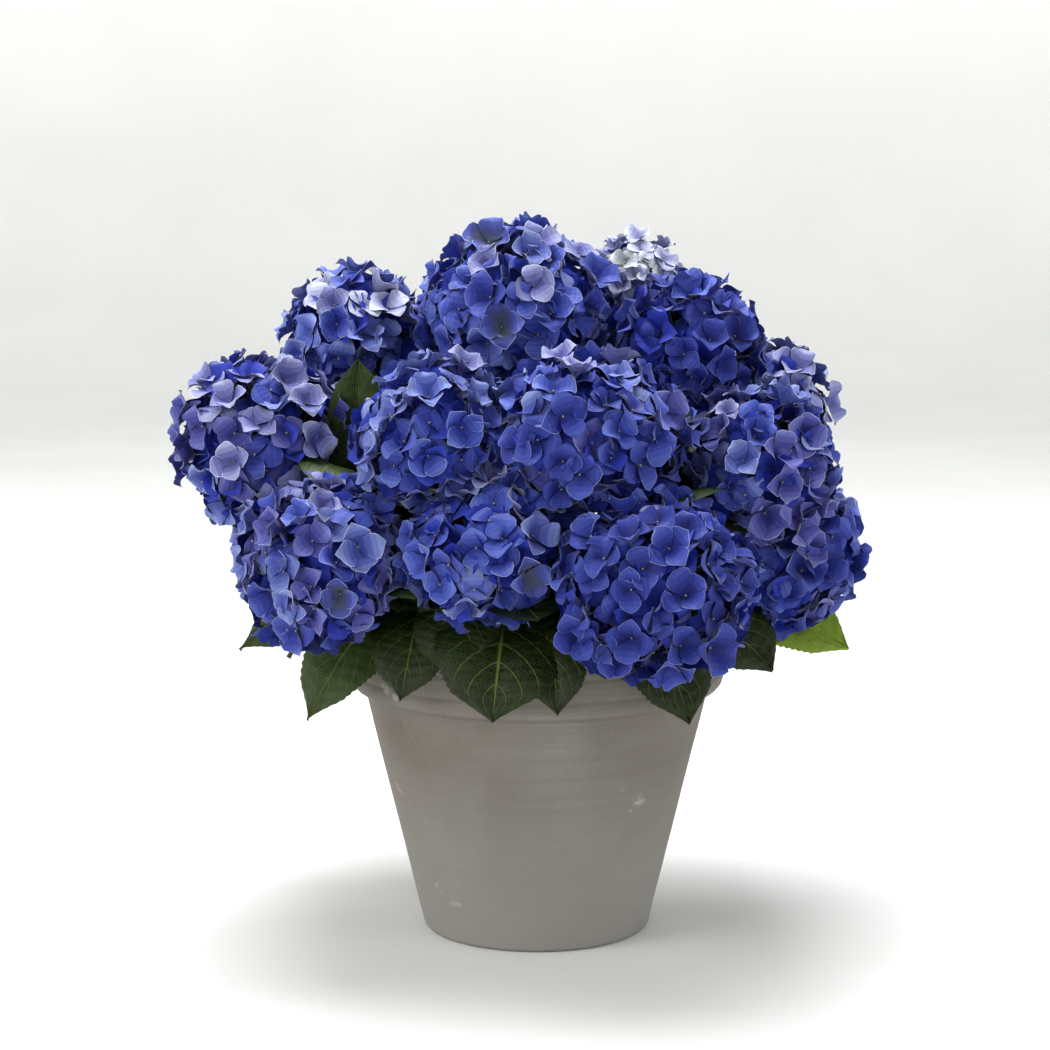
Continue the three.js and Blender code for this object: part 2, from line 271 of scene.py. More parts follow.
def setPlain(shader, **values):
    for label, value in values.items():
        shader.inputs[label.replace("_", " ")].default_value = value


def addBump(tree, shader, height, distance, strength):
    bump = node(tree, "Bump", {"Height": height, "Distance": distance, "Strength": strength})
    tree.links.new(bump[0], shader.inputs["Normal"])


def addRoughness(tree, shader, patch, low, high):
    tree.links.new(ramp(tree, patch, 0.0, 1.0, low, high), shader.inputs["Roughness"])


def objectPlace(tree):
    return node(tree, "TexCoord")["Object"]


def mottle(tree, place, scale, detail=3.0, stretch=(1, 1, 1), start=0.35, end=0.65):
    return useGroup(tree, "mottle", {"Place": place, "Scale": scale, "Detail": detail,
                                     "Stretch": stretch, "From": start, "To": end})[0]


def grain(tree, place, fine, coarse, share=0.5):
    return useGroup(tree, "grain", {"Place": place, "Fine": fine, "Coarse": coarse, "Share": share})[0]


# Mesh helpers

mergeWithin = 1e-6         # points nearer than this are one point


def newPiece(name, bm, materials):
    mesh = bpy.data.meshes.new(name)
    bm.to_mesh(mesh)
    bm.free()
    for material in materials:
        mesh.materials.append(material)
    return addObject(name, mesh)


def finishPiece(name, bm, materials, replaced=(), recalc=False):
    if recalc:
        bmesh.ops.remove_doubles(bm, verts=bm.verts, dist=mergeWithin)
        bmesh.ops.recalc_face_normals(bm, faces=bm.faces)
    piece = newPiece(name, bm, materials)
    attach(piece, "root")
    if replaced:
        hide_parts(*replaced)


def facesOf(verts):
    return {face for vert in verts for face in vert.link_faces}


def smoothFaces(faces, slot=0):
    for face in faces:
        face.smooth = True
        face.material_index = slot


def gridOf(bm, across, along):
    # a grid's points, each with its column and row
    made = bmesh.ops.create_grid(bm, x_segments=across, y_segments=along, size=1)["verts"]
    return {vert: (round((vert.co.x + 1) / 2 * across), round((vert.co.y + 1) / 2 * along)) for vert in made}


def turnedOutline(outline, steps, dist=mergeWithin):
    # an outline of (radius, height) points, turned all the way round
    bm = bmesh.new()
    chain = [bm.verts.new((x, 0, z)) for x, z in outline]
    edges = [bm.edges.new(pair) for pair in zip(chain, chain[1:])]
    bmesh.ops.spin(bm, geom=chain + edges, cent=(0, 0, 0), axis=up, angle=math.tau,
                   steps=steps, use_merge=True, use_duplicate=False)
    bmesh.ops.remove_doubles(bm, verts=bm.verts, dist=dist)
    smoothFaces(bm.faces)
    return bm


def addTube(bm, points, radii, sides, slot=0, relief=None):
    # a grid rolled up round a path, closed to a point at both ends
    path = [points[0]] + list(points) + [points[-1]]
    sizes = [0] + list(radii) + [0]
    rows = len(path) - 1
    last = len(points) - 1
    frames = []
    side = (points[1] - points[0]).orthogonal()
    for i in range(len(path)):
        run = (points[min(max(i, 1), last)] - points[max(min(i - 2, last - 1), 0)]).normalized()
        side = (side - run * side.dot(run)).normalized()
        frames.append((side.copy(), run.cross(side)))
    keys = gridOf(bm, sides, rows)
    smoothFaces(facesOf(keys), slot)
    for vert, (column, row) in keys.items():
        angle = (vert.co.x + 1) * math.pi
        across, face = frames[row]
        radius = sizes[row] * (relief(row / rows, angle) if relief else 1)
        vert.co = path[row] + (across * math.cos(angle) + face * math.sin(angle)) * radius
    return list(keys)


def bezier(start, knee, end, share):
    return start.lerp(knee, share).lerp(knee.lerp(end, share), share)


def bezierRun(start, knee, end, share):
    return (knee.lerp(end, share) - start.lerp(knee, share)).normalized()


# Pot

potShape = {
    "height": 0.250,
    "footRadius": 0.0904,
    "footRound": 0.005,
    "shoulderRadius": 0.138,
    "shoulderHeight": 0.1965,
    "bandRadius": 0.150,
    "bandRound": 0.0045,
    "shelf": ((0.004, 0.0004), (0.008, 0.0022), (0.0107, 0.0052), (0.012, 0.0095)),
    "grooves": (0.212, 0.229),
    "grooveDepth": 0.0006,
    "grooveHalf": 0.0024,
    "groove": ((-1.6, 0), (-1, 0.12), (-0.5, 0.7), (0, 1), (0.5, 0.7), (1, 0.12), (1.6, 0)),
    "lipRound": 0.003,
    "wall": 0.0113,
    "floor": 0.014,
    "wallRows": 12,
    "innerRows": 6,
    "rings": (0.03, 0.06),  # under the foot
    "floorRing": 0.05,
    "steps": 144,
    "wobble": 0.0005,      # how far the thrown wall strays
    "trueBelow": 0.004,    # the foot doesn't stray
}


def wallRadius(z):
    return mix(potShape["footRadius"], potShape["shoulderRadius"], z / potShape["shoulderHeight"])


def innerRadius(z):
    return wallRadius(z) - potShape["wall"]


def quarter(x, z, radius, fromAngle, toAngle, steps=5):
    turns = [math.radians(mix(fromAngle, toAngle, i / steps)) for i in range(steps + 1)]
    return [(x + radius * math.cos(turn), z + radius * math.sin(turn)) for turn in turns]


def potProfile():
    p = potShape
    shoulder, band, top, floor = p["shoulderHeight"], p["bandRadius"], p["height"], p["floor"]
    foot, lip, edge = p["footRound"], p["lipRound"], p["bandRound"]
    lean = math.degrees(math.atan2(p["shoulderRadius"] - p["footRadius"], shoulder))
    outline = [(0, 0)] + [(radius, 0) for radius in p["rings"]]
    outline += quarter(wallRadius(foot) - foot, foot, foot, -90, -lean)
    heights = [shoulder * i / p["wallRows"] for i in range(1, p["wallRows"] + 1)]
    outline += [(wallRadius(z), z) for z in heights]
    outline += [(p["shoulderRadius"] + out, shoulder + rise) for out, rise in p["shelf"]]
    for z in p["grooves"]:
        outline += [(band - deep * p["grooveDepth"], z + out * p["grooveHalf"]) for out, deep in p["groove"]]
    outline += quarter(band - edge, top - edge, edge, 0, 90)
    outline += quarter(innerRadius(top) + lip, top - lip, lip, 90, 180, 3)
    heights = [top * (1 - i / p["innerRows"]) for i in range(1, p["innerRows"])]
    outline += [(innerRadius(z), z) for z in heights]
    return outline + [(innerRadius(floor), floor), (p["floorRing"], floor), (0, floor)]


clay = {
    "base": (rgb(107, 102, 95), rgb(119, 115, 109)),
    "layers": {            # scale, detail, stretch, from, to, strength, colour
        "patch": (7.5, 6.0, (1, 1, 1.5), 0.48, 0.68, 0.5, rgb(104, 93, 82)),
        "bloom": (13.0, 7.0, (1, 1, 0.7), 0.5, 0.75, 0.45, rgb(141, 139, 136)),
        "streak": (11.0, 6.0, (0.5, 0.5, 22), 0.3, 0.7, 0.3, rgb(100, 92, 84)),
        "speck": (700.0, 2.0, (1, 1, 1), 0.3, 0.7, 0.14, rgb(160, 155, 148)),
    },
    "levels": (            # where it starts, where it is full, strength, colour
        (0.15, 0.0, 0.85, rgb(150, 147, 143)),       # lime towards the foot
        (0.196, 0.206, 0.15, rgb(108, 101, 93)),     # the band is damper
    ),
    "grooveShade": (0.0022, 0.0003, 0.2, rgb(80, 71, 62)),  # painted shade in the grooves and under the band
    "worn": (0.0012, 0.0, 0.35, rgb(172, 168, 162)),
    "wornAt": 0.0042,      # this far beside them
    "fleck": (26.0, 8.0, (1, 1, 1.4), 0.675, 0.72, 0.45, rgb(186, 183, 178)),
}


def clayMaterial():
    material, tree, shader = newMaterial("weatheredClay")
    place = objectPlace(tree)
    height = node(tree, "SeparateXYZ", {0: place})[2]
    broad = mottle(tree, place, 9.0, 4.0)
    colour = blendColour(tree, broad, *clay["base"])
    masks = {}
    for name, (*pattern, strength, over) in clay["layers"].items():
        masks[name] = mottle(tree, place, *pattern)
        colour = layOver(tree, colour, masks[name], strength, over)
    for start, end, strength, over in clay["levels"]:
        colour = blendColour(tree, ramp(tree, height, start, end, 0.0, strength), colour, over)
    # painted shade: darker in each groove and in the hollow under the band
    for z in potShape["grooves"] + (potShape["shoulderHeight"] + 0.001,):
        away = math2(tree, "ABSOLUTE", math2(tree, "SUBTRACT", height, z))
        start, end, strength, over = clay["grooveShade"]
        colour = blendColour(tree, ramp(tree, away, start, end, 0.0, strength), colour, over)
        beside = math2(tree, "ABSOLUTE", math2(tree, "SUBTRACT", away, clay["wornAt"]))
        start, end, strength, over = clay["worn"]
        colour = layOver(tree, colour, ramp(tree, beside, start, end, 0.0, strength), masks["bloom"], over)
    *pattern, strength, over = clay["fleck"]
    colour = layOver(tree, colour, mottle(tree, place, *pattern), strength, over)
    tree.links.new(colour, shader.inputs["Base Color"])
    addRoughness(tree, shader, broad, 0.8, 0.93)
    setPlain(shader, Specular_IOR_Level=0.25)
    tooth = grain(tree, place, 1100.0, 160.0, 0.45)
    relief = math2(tree, "ADD", tooth, math2(tree, "MULTIPLY", masks["streak"], 0.35))
    addBump(tree, shader, relief, 0.0009, 0.6)
    return material


def makePot():
    bm = turnedOutline(potProfile(), potShape["steps"])
    bmesh.ops.recalc_face_normals(bm, faces=bm.faces)
    for vert in bm.verts:
        out = Vector((vert.co.x, vert.co.y, 0))
        if vert.co.z > potShape["trueBelow"] and out.length > potShape["floorRing"]:
            stray = noise.noise(vert.co * 14 + Vector((3, 1, 7)))
            stray += 0.4 * noise.noise(vert.co * Vector((6, 6, 60)))
            vert.co += out.normalized() * stray * potShape["wobble"]
    finishPiece("clay_pot", bm, [clayMaterial()], ["pot"])


makePot()
print("pot done")


# Compost

soil = {
    "edge": 0.221,
    "middle": 0.226,
    "radius": 0.1318,
    "rings": 40,
    "sides": 96,
    "lump": 0.0035,
    "lumpScale": 45,
    "sunk": 0.0015,
    "overFloor": 0.0003,   # room to the pot's floor and wall
    "offWall": 0.0006,
    "crumbs": 420,
    "crumbSize": (0.0018, 0.0048),
    "crumbWide": (0.7, 1.3),
    "crumbTall": (0.45, 0.8),
    "crumbsTo": 0.1278,
    "clear": 0.034,        # bare of crumbs round the stems
}
soilLook = {
    "detail": 6.0, "stretch": (1, 1, 1), "rough": (0.85, 1.0), "grain": (900.0, 260.0),
    "bump": (0.002, 0.8)}
barkLook = {
    "detail": 5.0, "stretch": (1, 1, 0.4), "rough": (0.6, 0.85), "grain": (1500.0, 420.0),
    "bump": (0.0008, 0.7)}


def twoToneMaterial(name, dark, light, look, scale):
    # two shades in soft patches, over a fine grain
    material, tree, shader = newMaterial(name)
    place = objectPlace(tree)
    patch = mottle(tree, place, scale, look["detail"], look["stretch"])
    tree.links.new(blendColour(tree, patch, dark, light), shader.inputs["Base Color"])
    addRoughness(tree, shader, patch, *look["rough"])
    addBump(tree, shader, grain(tree, place, *look["grain"]), *look["bump"])
    return material


def soilMaterial(name, dark, light):
    return twoToneMaterial(name, dark, light, soilLook, 60.0)


def soilHeight(point):
    level = mix(soil["middle"], soil["edge"], min(1, math.hypot(point.x, point.y) / soil["radius"]))
    lumps = noise.fractal(point * soil["lumpScale"], 1.0, 2.0, 4)
    return level + soil["lump"] * lumps - soil["sunk"]


def partsOf(made, kind):
    return [part for part in made["geom"] if isinstance(part, kind)]


def makeSoil():
    bm = bmesh.new()
    bmesh.ops.create_circle(bm, cap_ends=False, radius=soil["radius"], segments=soil["sides"])
    rim = list(bm.edges)
    for i in range(soil["rings"], 0, -1):
        made = bmesh.ops.extrude_edge_only(bm, edges=rim)
        rim = partsOf(made, bmesh.types.BMEdge)
        bmesh.ops.scale(bm, verts=partsOf(made, bmesh.types.BMVert), vec=((i - 1) / i, (i - 1) / i, 1))
    bmesh.ops.remove_doubles(bm, verts=bm.verts, dist=mergeWithin)
    for vert in bm.verts:
        vert.co.z = soilHeight(vert.co)
    # the sides and the underside close it against the pot's inner wall
    low = potShape["floor"] + soil["overFloor"]
    made = bmesh.ops.extrude_edge_only(bm, edges=[edge for edge in bm.edges if edge.is_boundary])
    shrink = (innerRadius(low) - soil["offWall"]) / soil["radius"]
    for vert in partsOf(made, bmesh.types.BMVert):
        vert.co = Vector((vert.co.x * shrink, vert.co.y * shrink, low))
    bmesh.ops.contextual_create(bm, geom=[edge for edge in bm.edges if edge.is_boundary])
    smoothFaces(bm.faces)
    finishPiece("compost_bed", bm, [soilMaterial("dampCompost", rgb(38, 28, 21), rgb(66, 50, 37))],
                ["compost"], recalc=True)

    bm = bmesh.new()
    for k in range(soil["crumbs"]):
        spread = mix(soil["clear"], soil["crumbsTo"], math.sqrt(random.random()))
        place = around(between(0, 360), spread, 0)
        place.z = soilHeight(place) + 0.0006
        size = between(*soil["crumbSize"])
        made = bmesh.ops.create_icosphere(bm, subdivisions=1, radius=size)["verts"]
        wide, tall = soil["crumbWide"], soil["crumbTall"]
        squash = Vector((between(*wide), between(*wide), between(*tall)))
        turn = Matrix.Rotation(between(0, math.tau), 3, "Z")
        for vert in made:
            stray = 1 + 0.35 * noise.noise(vert.co * 400 + Vector((k, 0, 0)))
            vert.co = turn @ (vert.co * squash * stray) + place
        for face in facesOf(made):
            face.material_index = k % 2
    finishPiece("compost_crumbs", bm, [
        soilMaterial("darkCrumb", rgb(44, 31, 22), rgb(70, 52, 38)),
        soilMaterial("barkCrumb", rgb(74, 52, 34), rgb(104, 78, 54))])


makeSoil()
print("compost done")


# Shoots: each runs from the root crown to the foot of its flower stalk

# at, across, tall, dome: the head's widest ring, from outside, and the rise over it
# tone: the tints of its florets; young, bare: directions with small pale florets, or with none
# leafy: its leaves at the rim, each with bearing, reach from the pot's axis, height of the tip,
# half width, bearing that the blade looks to, and tint
shoots = [
    dict(at=(-0.017, -0.005, 0.494), across=0.168, tall=0.156, dome=0.077, tone="clear",
         young=[(0.76, 0.61, -0.2)]),
    dict(at=(-0.150, 0.062, 0.468), across=0.120, tall=0.114, dome=0.058, tone="fair"),
    dict(at=(-0.209, -0.032, 0.395), across=0.146, tall=0.144, dome=0.078, tone="lavender", leafy=[]),
    dict(at=(-0.160, -0.116, 0.318), across=0.144, tall=0.138, dome=0.066, tone="violet",
         leafy=[(194, 0.240, 0.236, 0.034, 222, 1), (211, 0.206, 0.190, 0.036, 244, 1),
                (235, 0.180, 0.214, 0.033, 256, 0)]),
    dict(at=(-0.079, -0.118, 0.413), across=0.136, tall=0.124, dome=0.060, tone="bright", leafy=[],
         bare=[(-0.72, 0.3, 0.62)]),
    dict(at=(-0.038, -0.156, 0.334), across=0.128, tall=0.116, dome=0.057, tone="clear",
         leafy=[(260, 0.188, 0.206, 0.050, 268, 0), (275, 0.180, 0.210, 0.030, 262, 0),
                (245, 0.166, 0.236, 0.034, 250, 0)]),
    dict(at=(0.036, -0.136, 0.412), across=0.168, tall=0.142, dome=0.066, tone="royal", leafy=[]),
    dict(at=(0.086, -0.178, 0.309), across=0.176, tall=0.142, dome=0.068, tone="dark",
         young=[(0.03, 0.77, 0.64)],
         leafy=[(307, 0.192, 0.198, 0.036, 276, 0), (331, 0.208, 0.228, 0.036, 292, 0),
                (288, 0.168, 0.234, 0.034, 280, 0)]),
    dict(at=(0.118, -0.022, 0.466), across=0.126, tall=0.126, dome=0.064, tone="dark", leafy=[]),
    dict(at=(0.078, 0.076, 0.506), across=0.094, tall=0.090, dome=0.048, tone="pale"),
    dict(at=(0.168, -0.082, 0.386), across=0.130, tall=0.132, dome=0.062, tone="violet", leafy=[],
         young=[(-0.56, 0.61, 0.56), (0.3, -0.14, 0.94)]),
    dict(at=(0.191, -0.036, 0.309), across=0.134, tall=0.122, dome=0.071, tone="royal",
         leafy=[(350, 0.250, 0.234, 0.032, 284, 2), (12, 0.200, 0.220, 0.034, 10, 1)]),
    dict(at=(0.188, 0.060, 0.410), across=0.108, tall=0.108, dome=0.055, tone="hazy", leafy=[]),
    dict(at=(-0.048, 0.132, 0.456), across=0.148, tall=0.146, dome=0.072, tone="royal", leafy=[]),
    dict(at=(0.084, 0.160, 0.404), across=0.166, tall=0.158, dome=0.074, tone="deep", leafy=[]),
    dict(at=(-0.152, 0.138, 0.374), across=0.162, tall=0.156, dome=0.076, tone="violet", leafy=[]),
    dict(at=(-0.034, 0.196, 0.334), across=0.160, tall=0.150, dome=0.072, tone="bright",
         leafy=[(78, 0.192, 0.214, 0.036, 72, 1), (98, 0.186, 0.208, 0.040, 104, 0)]),
    dict(at=(0.174, 0.122, 0.314), across=0.148, tall=0.148, dome=0.072, tone="royal",
         leafy=[(35, 0.208, 0.226, 0.036, 40, 0), (55, 0.194, 0.212, 0.040, 48, 1)]),
    dict(at=(-0.142, 0.176, 0.276), across=0.136, tall=0.124, dome=0.060, tone="deep",
         leafy=[(118, 0.190, 0.206, 0.042, 112, 0), (146, 0.204, 0.222, 0.034, 150, 2)]),
    dict(at=(-0.182, 0.074, 0.296), across=0.140, tall=0.136, dome=0.066, tone="violet",
         leafy=[(164, 0.226, 0.232, 0.034, 172, 0), (180, 0.200, 0.218, 0.036, 186, 1)]),
]

growth = {
    "heart": Vector((0, 0, 0.230)),
    "bend": 0.42,
    "leafyFrom": 0.5,
    "crownRadius": 0.030,
    "crownFoot": 0.2263,
    "crownCollar": 0.005,
    "crownHeight": 0.028,
    "seat": 0.0025,
    "under": 0.75,         # depth below a head's widest ring, of its dome
    "stalk": 0.015,
    "hub": 0.3,            # a head's stalks spread from here, below its widest ring
}


def growShoot(shoot):
    g = growth
    shoot["centre"] = Vector(shoot["at"])
    axis = (shoot["centre"] - g["heart"]).normalized()
    start = Vector((g["crownRadius"] * axis.x, g["crownRadius"] * axis.y,
                    g["crownFoot"] + g["crownCollar"] + (g["crownHeight"] - g["crownCollar"]) * axis.z))
    start -= axis * g["seat"]
    end = shoot["centre"] - axis * (g["under"] * shoot["dome"] + g["stalk"])
    knee = end - axis * g["bend"] * (end - start).length
    shoot.update(axis=axis, curve=(start, knee, end))
    # three directions and half sizes of the flower head
    side = up.cross(axis).normalized()
    shoot.update(side=side, face=axis.cross(side), half=(shoot["across"] / 2, shoot["tall"] / 2))
    shoot["hub"] = shoot["centre"] - axis * shoot["dome"] * g["hub"]


for shoot in shoots:
    growShoot(shoot)


def alongShoot(shoot, share):
    return bezier(*shoot["curve"], share)


def runOfShoot(shoot, share):
    return bezierRun(*shoot["curve"], share)


def barkMaterial(name, dark, light, scale):
    return twoToneMaterial(name, dark, light, barkLook, scale)


wood = {
    "rootRadius": 0.0046,
    "tipRadius": 0.0033,
    "sides": 10,
    "rings": 36,
    "ridges": 5,           # round a bough
    "ridge": 0.10,         # their height, of the radius
    "knots": (0.3, 0.62, 0.93),
    "knotSwell": 0.28,
    "knotHalf": 0.018,
    "crownRings": (40, 24),
    "crownRidges": 9,
    "crownSeat": 0.0012,
}


def barkRelief(limb, row, angle):
    ridges = math.sin(angle * wood["ridges"] + 3 * noise.noise(Vector((row * 6, limb, 0))))
    rough = noise.noise(Vector((row * 30, math.cos(angle) * 1.5, math.sin(angle) * 1.5 + limb)))
    swell = sum(math.exp(-((row - knot) / wood["knotHalf"]) ** 2) for knot in wood["knots"])
    return 1 + wood["ridge"] * (0.5 * ridges + rough) + wood["knotSwell"] * swell


def makeWood():
    bark = barkMaterial("thinBark", rgb(92, 72, 52), rgb(142, 119, 90), 90.0)
    bm = bmesh.new()
    steps = [k / wood["rings"] for k in range(wood["rings"] + 1)]
    radii = [mix(wood["rootRadius"], wood["tipRadius"], step) for step in steps]
    for i, shoot in enumerate(shoots):
        to = growth["leafyFrom"] if "leafy" in shoot else 1
        points = [alongShoot(shoot, to * step) for step in steps]
        addTube(bm, points, radii, wood["sides"], relief=lambda row, angle: barkRelief(i, row, angle))
    boughs = ["bough_%02d" % (i + 1) for i in range(len(shoots))]
    finishPiece("bark_boughs", bm, [bark], boughs, recalc=True)

    g = growth
    bm = bmesh.new()
    bmesh.ops.create_uvsphere(bm, u_segments=wood["crownRings"][0], v_segments=wood["crownRings"][1],
                              radius=g["crownRadius"])
    foot = g["crownFoot"] + g["crownCollar"]
    stretch = (g["crownHeight"] - g["crownCollar"]) / g["crownRadius"]
    for vert in bm.verts:
        lumps = 1 + 0.07 * noise.noise(vert.co * 120) + 0.10 * noise.noise(vert.co * 45 + Vector((5, 2, 1)))
        ridges = 1 + 0.03 * math.sin(wood["crownRidges"] * math.atan2(vert.co.y, vert.co.x) + vert.co.z * 200)
        flare = vert.co * lumps * ridges
        z = max(foot + flare.z * stretch, g["crownFoot"] - wood["crownSeat"])
        vert.co = Vector((flare.x, flare.y, z))
    smoothFaces(bm.faces)
    finishPiece("bark_root_crown", bm, [bark], ["root_crown"])


makeWood()
print("wood done")


# Leaves

leafShape = {
    "belly": 0.66,         # how the width grows from the stalk and falls to the tip
    "taper": 0.64,
    "tipFrom": 0.86,       # where the drawn-out tip starts
    "fold": 0.17,          # rise of the edges, of the half width
    "curl": 0.16,
    "quilt": 0.0016,       # the blade swells between its side veins
    "pairs": 7,
    "lean": 0.36,
    "arching": 1.15,
    "tooth": 0.026,
    "veinHalf": 0.13,
    "ribHalf": 0.10,
    "stalkShare": 0.14,
    "stalkReach": 0.154,   # it runs on a little way under the blade
    "stalkRadii": (0.00208, 0.00128),
}
fineBlade = {"columns": [k / 6 - 1 for k in range(13)], "rows": [k / 60 for k in range(61)]}
plainBlade = {"columns": (-1, -0.55, -0.05, 0.05, 0.55, 1), "rows": [k / 9 for k in range(10)]}


def bladeWidth(share):
    s = leafShape
    peak = s["belly"] / (s["belly"] + s["taper"])
    most = peak ** s["belly"] * (1 - peak) ** s["taper"]
    drawn = min(1, (1 - share) / (1 - s["tipFrom"])) ** 0.5
    return share ** s["belly"] * (1 - share) ** s["taper"] / most * drawn


def quiltHeight(across, share):
    s = leafShape
    phase = (share - s["lean"] * abs(across) ** s["arching"]) * s["pairs"]
    off = abs(phase % 1 - 0.5)
    vein = math.exp(-(off / s["veinHalf"]) ** 2)
    rib = math.exp(-(across / s["ribHalf"]) ** 2)
    return s["quilt"] * (1 - max(vein, rib)) * (1 - abs(across) ** 4)


def mappedGrid(bm, columns, rows, layer):
    # a grid's points, each with its column and row, and its faces, mapped by the two lists
    keys = gridOf(bm, len(columns) - 1, len(rows) - 1)
    faces = list(facesOf(keys))
    for face in faces:
        face.smooth = True
        for loop in face.loops:
            column, row = keys[loop.vert]
            loop[layer].uv = ((columns[column] + 1) / 2, rows[row])
    return keys, faces


def addBlade(bm, arch, half, grid, slots, layer, look=up, wave=0.0):
    # one leaf blade along the arch, past its stalk, with its upper face towards look
    s = leafShape
    columns, rows = grid["columns"], grid["rows"]
    fine = grid is fineBlade
    keys, faces = mappedGrid(bm, columns, rows, layer)
    for face in faces:
        column = min(keys[vert][0] for vert in face.verts)
        face.material_index = slots[min(column, len(columns) - 2 - column, len(slots) - 1)]
    for vert, (column, row) in keys.items():
        share, x = rows[row], columns[column]
        width = half * bladeWidth(share)
        if fine and abs(x) == 1 and 1 < row < len(rows) - 2:
            width *= 1 + s["tooth"] * (1 if row % 2 else -1)
        along = mix(s["stalkShare"], 1, share)
        run = bezierRun(*arch, along)
        side = run.cross(look).normalized()
        face = side.cross(run)
        rise = s["fold"] * width * abs(x) - s["curl"] * width * abs(x) ** 3
        rise += wave * math.sin(share * 9 + (2 if x > 0 else 0)) * x * x
        rise += quiltHeight(x, share) if fine else 0
        vert.co = bezier(*arch, along) + side * width * x + face * rise
    bmesh.ops.remove_doubles(bm, verts=list(keys), dist=mergeWithin)


def addLeafStalk(bm, arch, slot):
    steps = [k / 5 for k in range(6)]
    points = [bezier(*arch, leafShape["stalkReach"] * step) for step in steps]
    made = addTube(bm, points, [mix(*leafShape["stalkRadii"], step) for step in steps], 6, slot)
    bmesh.ops.remove_doubles(bm, verts=made, dist=mergeWithin)


def leafMap(tree):
    return node(tree, "UVMap", uv_map="leaf")[0]


def plainGreen(name, colour, gloss):
    # leaves in the shade: the tints are dealt out leaf by leaf
    material, tree, shader = newMaterial(name)
    setPlain(shader, Base_Color=colour, Specular_IOR_Level=0.4)
    addRoughness(tree, shader, mottle(tree, objectPlace(tree), 40.0), gloss, gloss + 0.18)
    veins = useGroup(tree, "leafVeins", {"Map": leafMap(tree)})[0]
    addBump(tree, shader, math2(tree, "MULTIPLY", veins, -1.0), 0.0008, 0.8)
    return material


def bladeMaterial(name, shade, light, vein):
    # a leaf that shows: green with paler veins, a fine network and a pale underside
    material, tree, shader = newMaterial(name)
    veins, network = useGroup(tree, "leafVeins", {"Map": leafMap(tree), "Width": 0.042})
    under = node(tree, "NewGeometry")["Backfacing"]
    patch = mottle(tree, objectPlace(tree), 35.0, 4.0)
    colour = blendColour(tree, patch, shade, light)
    colour = layOver(tree, colour, network, 0.09, vein)
    colour = layOver(tree, colour, veins, 0.55, vein)
    colour = layOver(tree, colour, under, 0.75, rgb(126, 142, 98))
    tree.links.new(colour, shader.inputs["Base Color"])
    addRoughness(tree, shader, patch, 0.34, 0.5)
    setPlain(shader, Specular_IOR_Level=0.27)
    hollow = math2(tree, "MULTIPLY", network, -0.25)
    addBump(tree, shader, math2(tree, "ADD", math2(tree, "MULTIPLY", veins, -1.0), hollow), 0.0009, 0.85)
    return material


innerLeaf = {
    "rows": ((0.92, 30), (0.85, 66), (0.74, 104), (0.62, 140), (0.5, 60), (0.36, 100), (0.2, 40)),
    "length": (0.074, 0.100),
    "width": 0.31,
    "drop": (-0.008, 0.014),
    "lift": 0.014,
    "tries": 9,
    "step": 0.008,
    "clear": 0.84,         # it keeps out of this much of a head
    "wave": 0.001,
    "tints": (0, 0, 1, 2),
}
rimLeaf = {
    "firstShare": 0.08,
    "shareStep": 0.2,
    "lift": 0.030,
    "overRimHighlight": (0.154, 0.287),  # reach and height where it clears the pot's lip
    "tilt": 0.7,
    "wave": 0.0025,
}
# upright leaves in the gaps between heads: shoot, share along it, knee, tip, half width,
# and the way that the blade looks
gapLeaves = [
    (2, 0.86, (-0.138, -0.066, 0.385), (-0.138, -0.060, 0.466), 0.026, (0.05, -1, 0.25)),
    (19, 0.62, (-0.104, 0.036, 0.336), (-0.116, -0.052, 0.318), 0.028, (-1, 0, 0.3)),
]
stem = {
    "rows": 16,
    "radii": (0.0032, 0.0027),
    "sides": 10,
    "upperRows": 4,
    "upperSides": 8,
}
stalkSlot = 3


def depthOf(shoot, deep):
    return shoot["dome"] * (1 if deep > 0 else growth["under"])


def headSize(shoot, out):
    # how far a way out of a head's centre reaches, of the head's own reach there
    deep = out.dot(shoot["axis"])
    return math.hypot(out.dot(shoot["side"]) / shoot["half"][0],
                      out.dot(shoot["face"]) / shoot["half"][1], deep / depthOf(shoot, deep))


def insideHead(point, grown):
    return any(headSize(shoot, point - shoot["centre"]) < grown for shoot in shoots)


def leafyShare(share):
    return mix(growth["leafyFrom"], 1, share)


def addStem(bm, shoot):
    if "leafy" in shoot:
        steps = [k / stem["rows"] for k in range(stem["rows"] + 1)]
        points = [alongShoot(shoot, leafyShare(step)) for step in steps]
        addTube(bm, points, [mix(*stem["radii"], step) for step in steps], stem["sides"])
    rows = stem["upperRows"]
    foot = alongShoot(shoot, 1)
    points = [foot.lerp(shoot["hub"], k / rows) for k in range(rows + 1)]
    addTube(bm, points, [stem["radii"][1]] * len(points), stem["upperSides"])


def rimArch(root, bearing, reach, height):
    # from the shoot over the pot's rim to the tip
    tip = around(bearing, reach, height)
    over = root.lerp(tip, 0.5)
    least = rimLeaf["overRimHighlight"]
    high = max(least[1], over.z + rimLeaf["lift"])
    return root, around(bearing, max(least[0], math.hypot(over.x, over.y)), high), tip


def innerArch(root, tip):
    # the first of a few arches, higher and lower by turns, that keeps out of the heads
    for attempt in range(innerLeaf["tries"]):
        change = (1 if attempt % 2 else -1) * math.ceil(attempt / 2) * innerLeaf["step"]
        end = tip + up * change
        arch = (root, root.lerp(end, 0.5) + up * (innerLeaf["lift"] + change), end)
        if not any(insideHead(bezier(*arch, part), innerLeaf["clear"]) for part in (0.5, 0.75, 1)):
            return arch


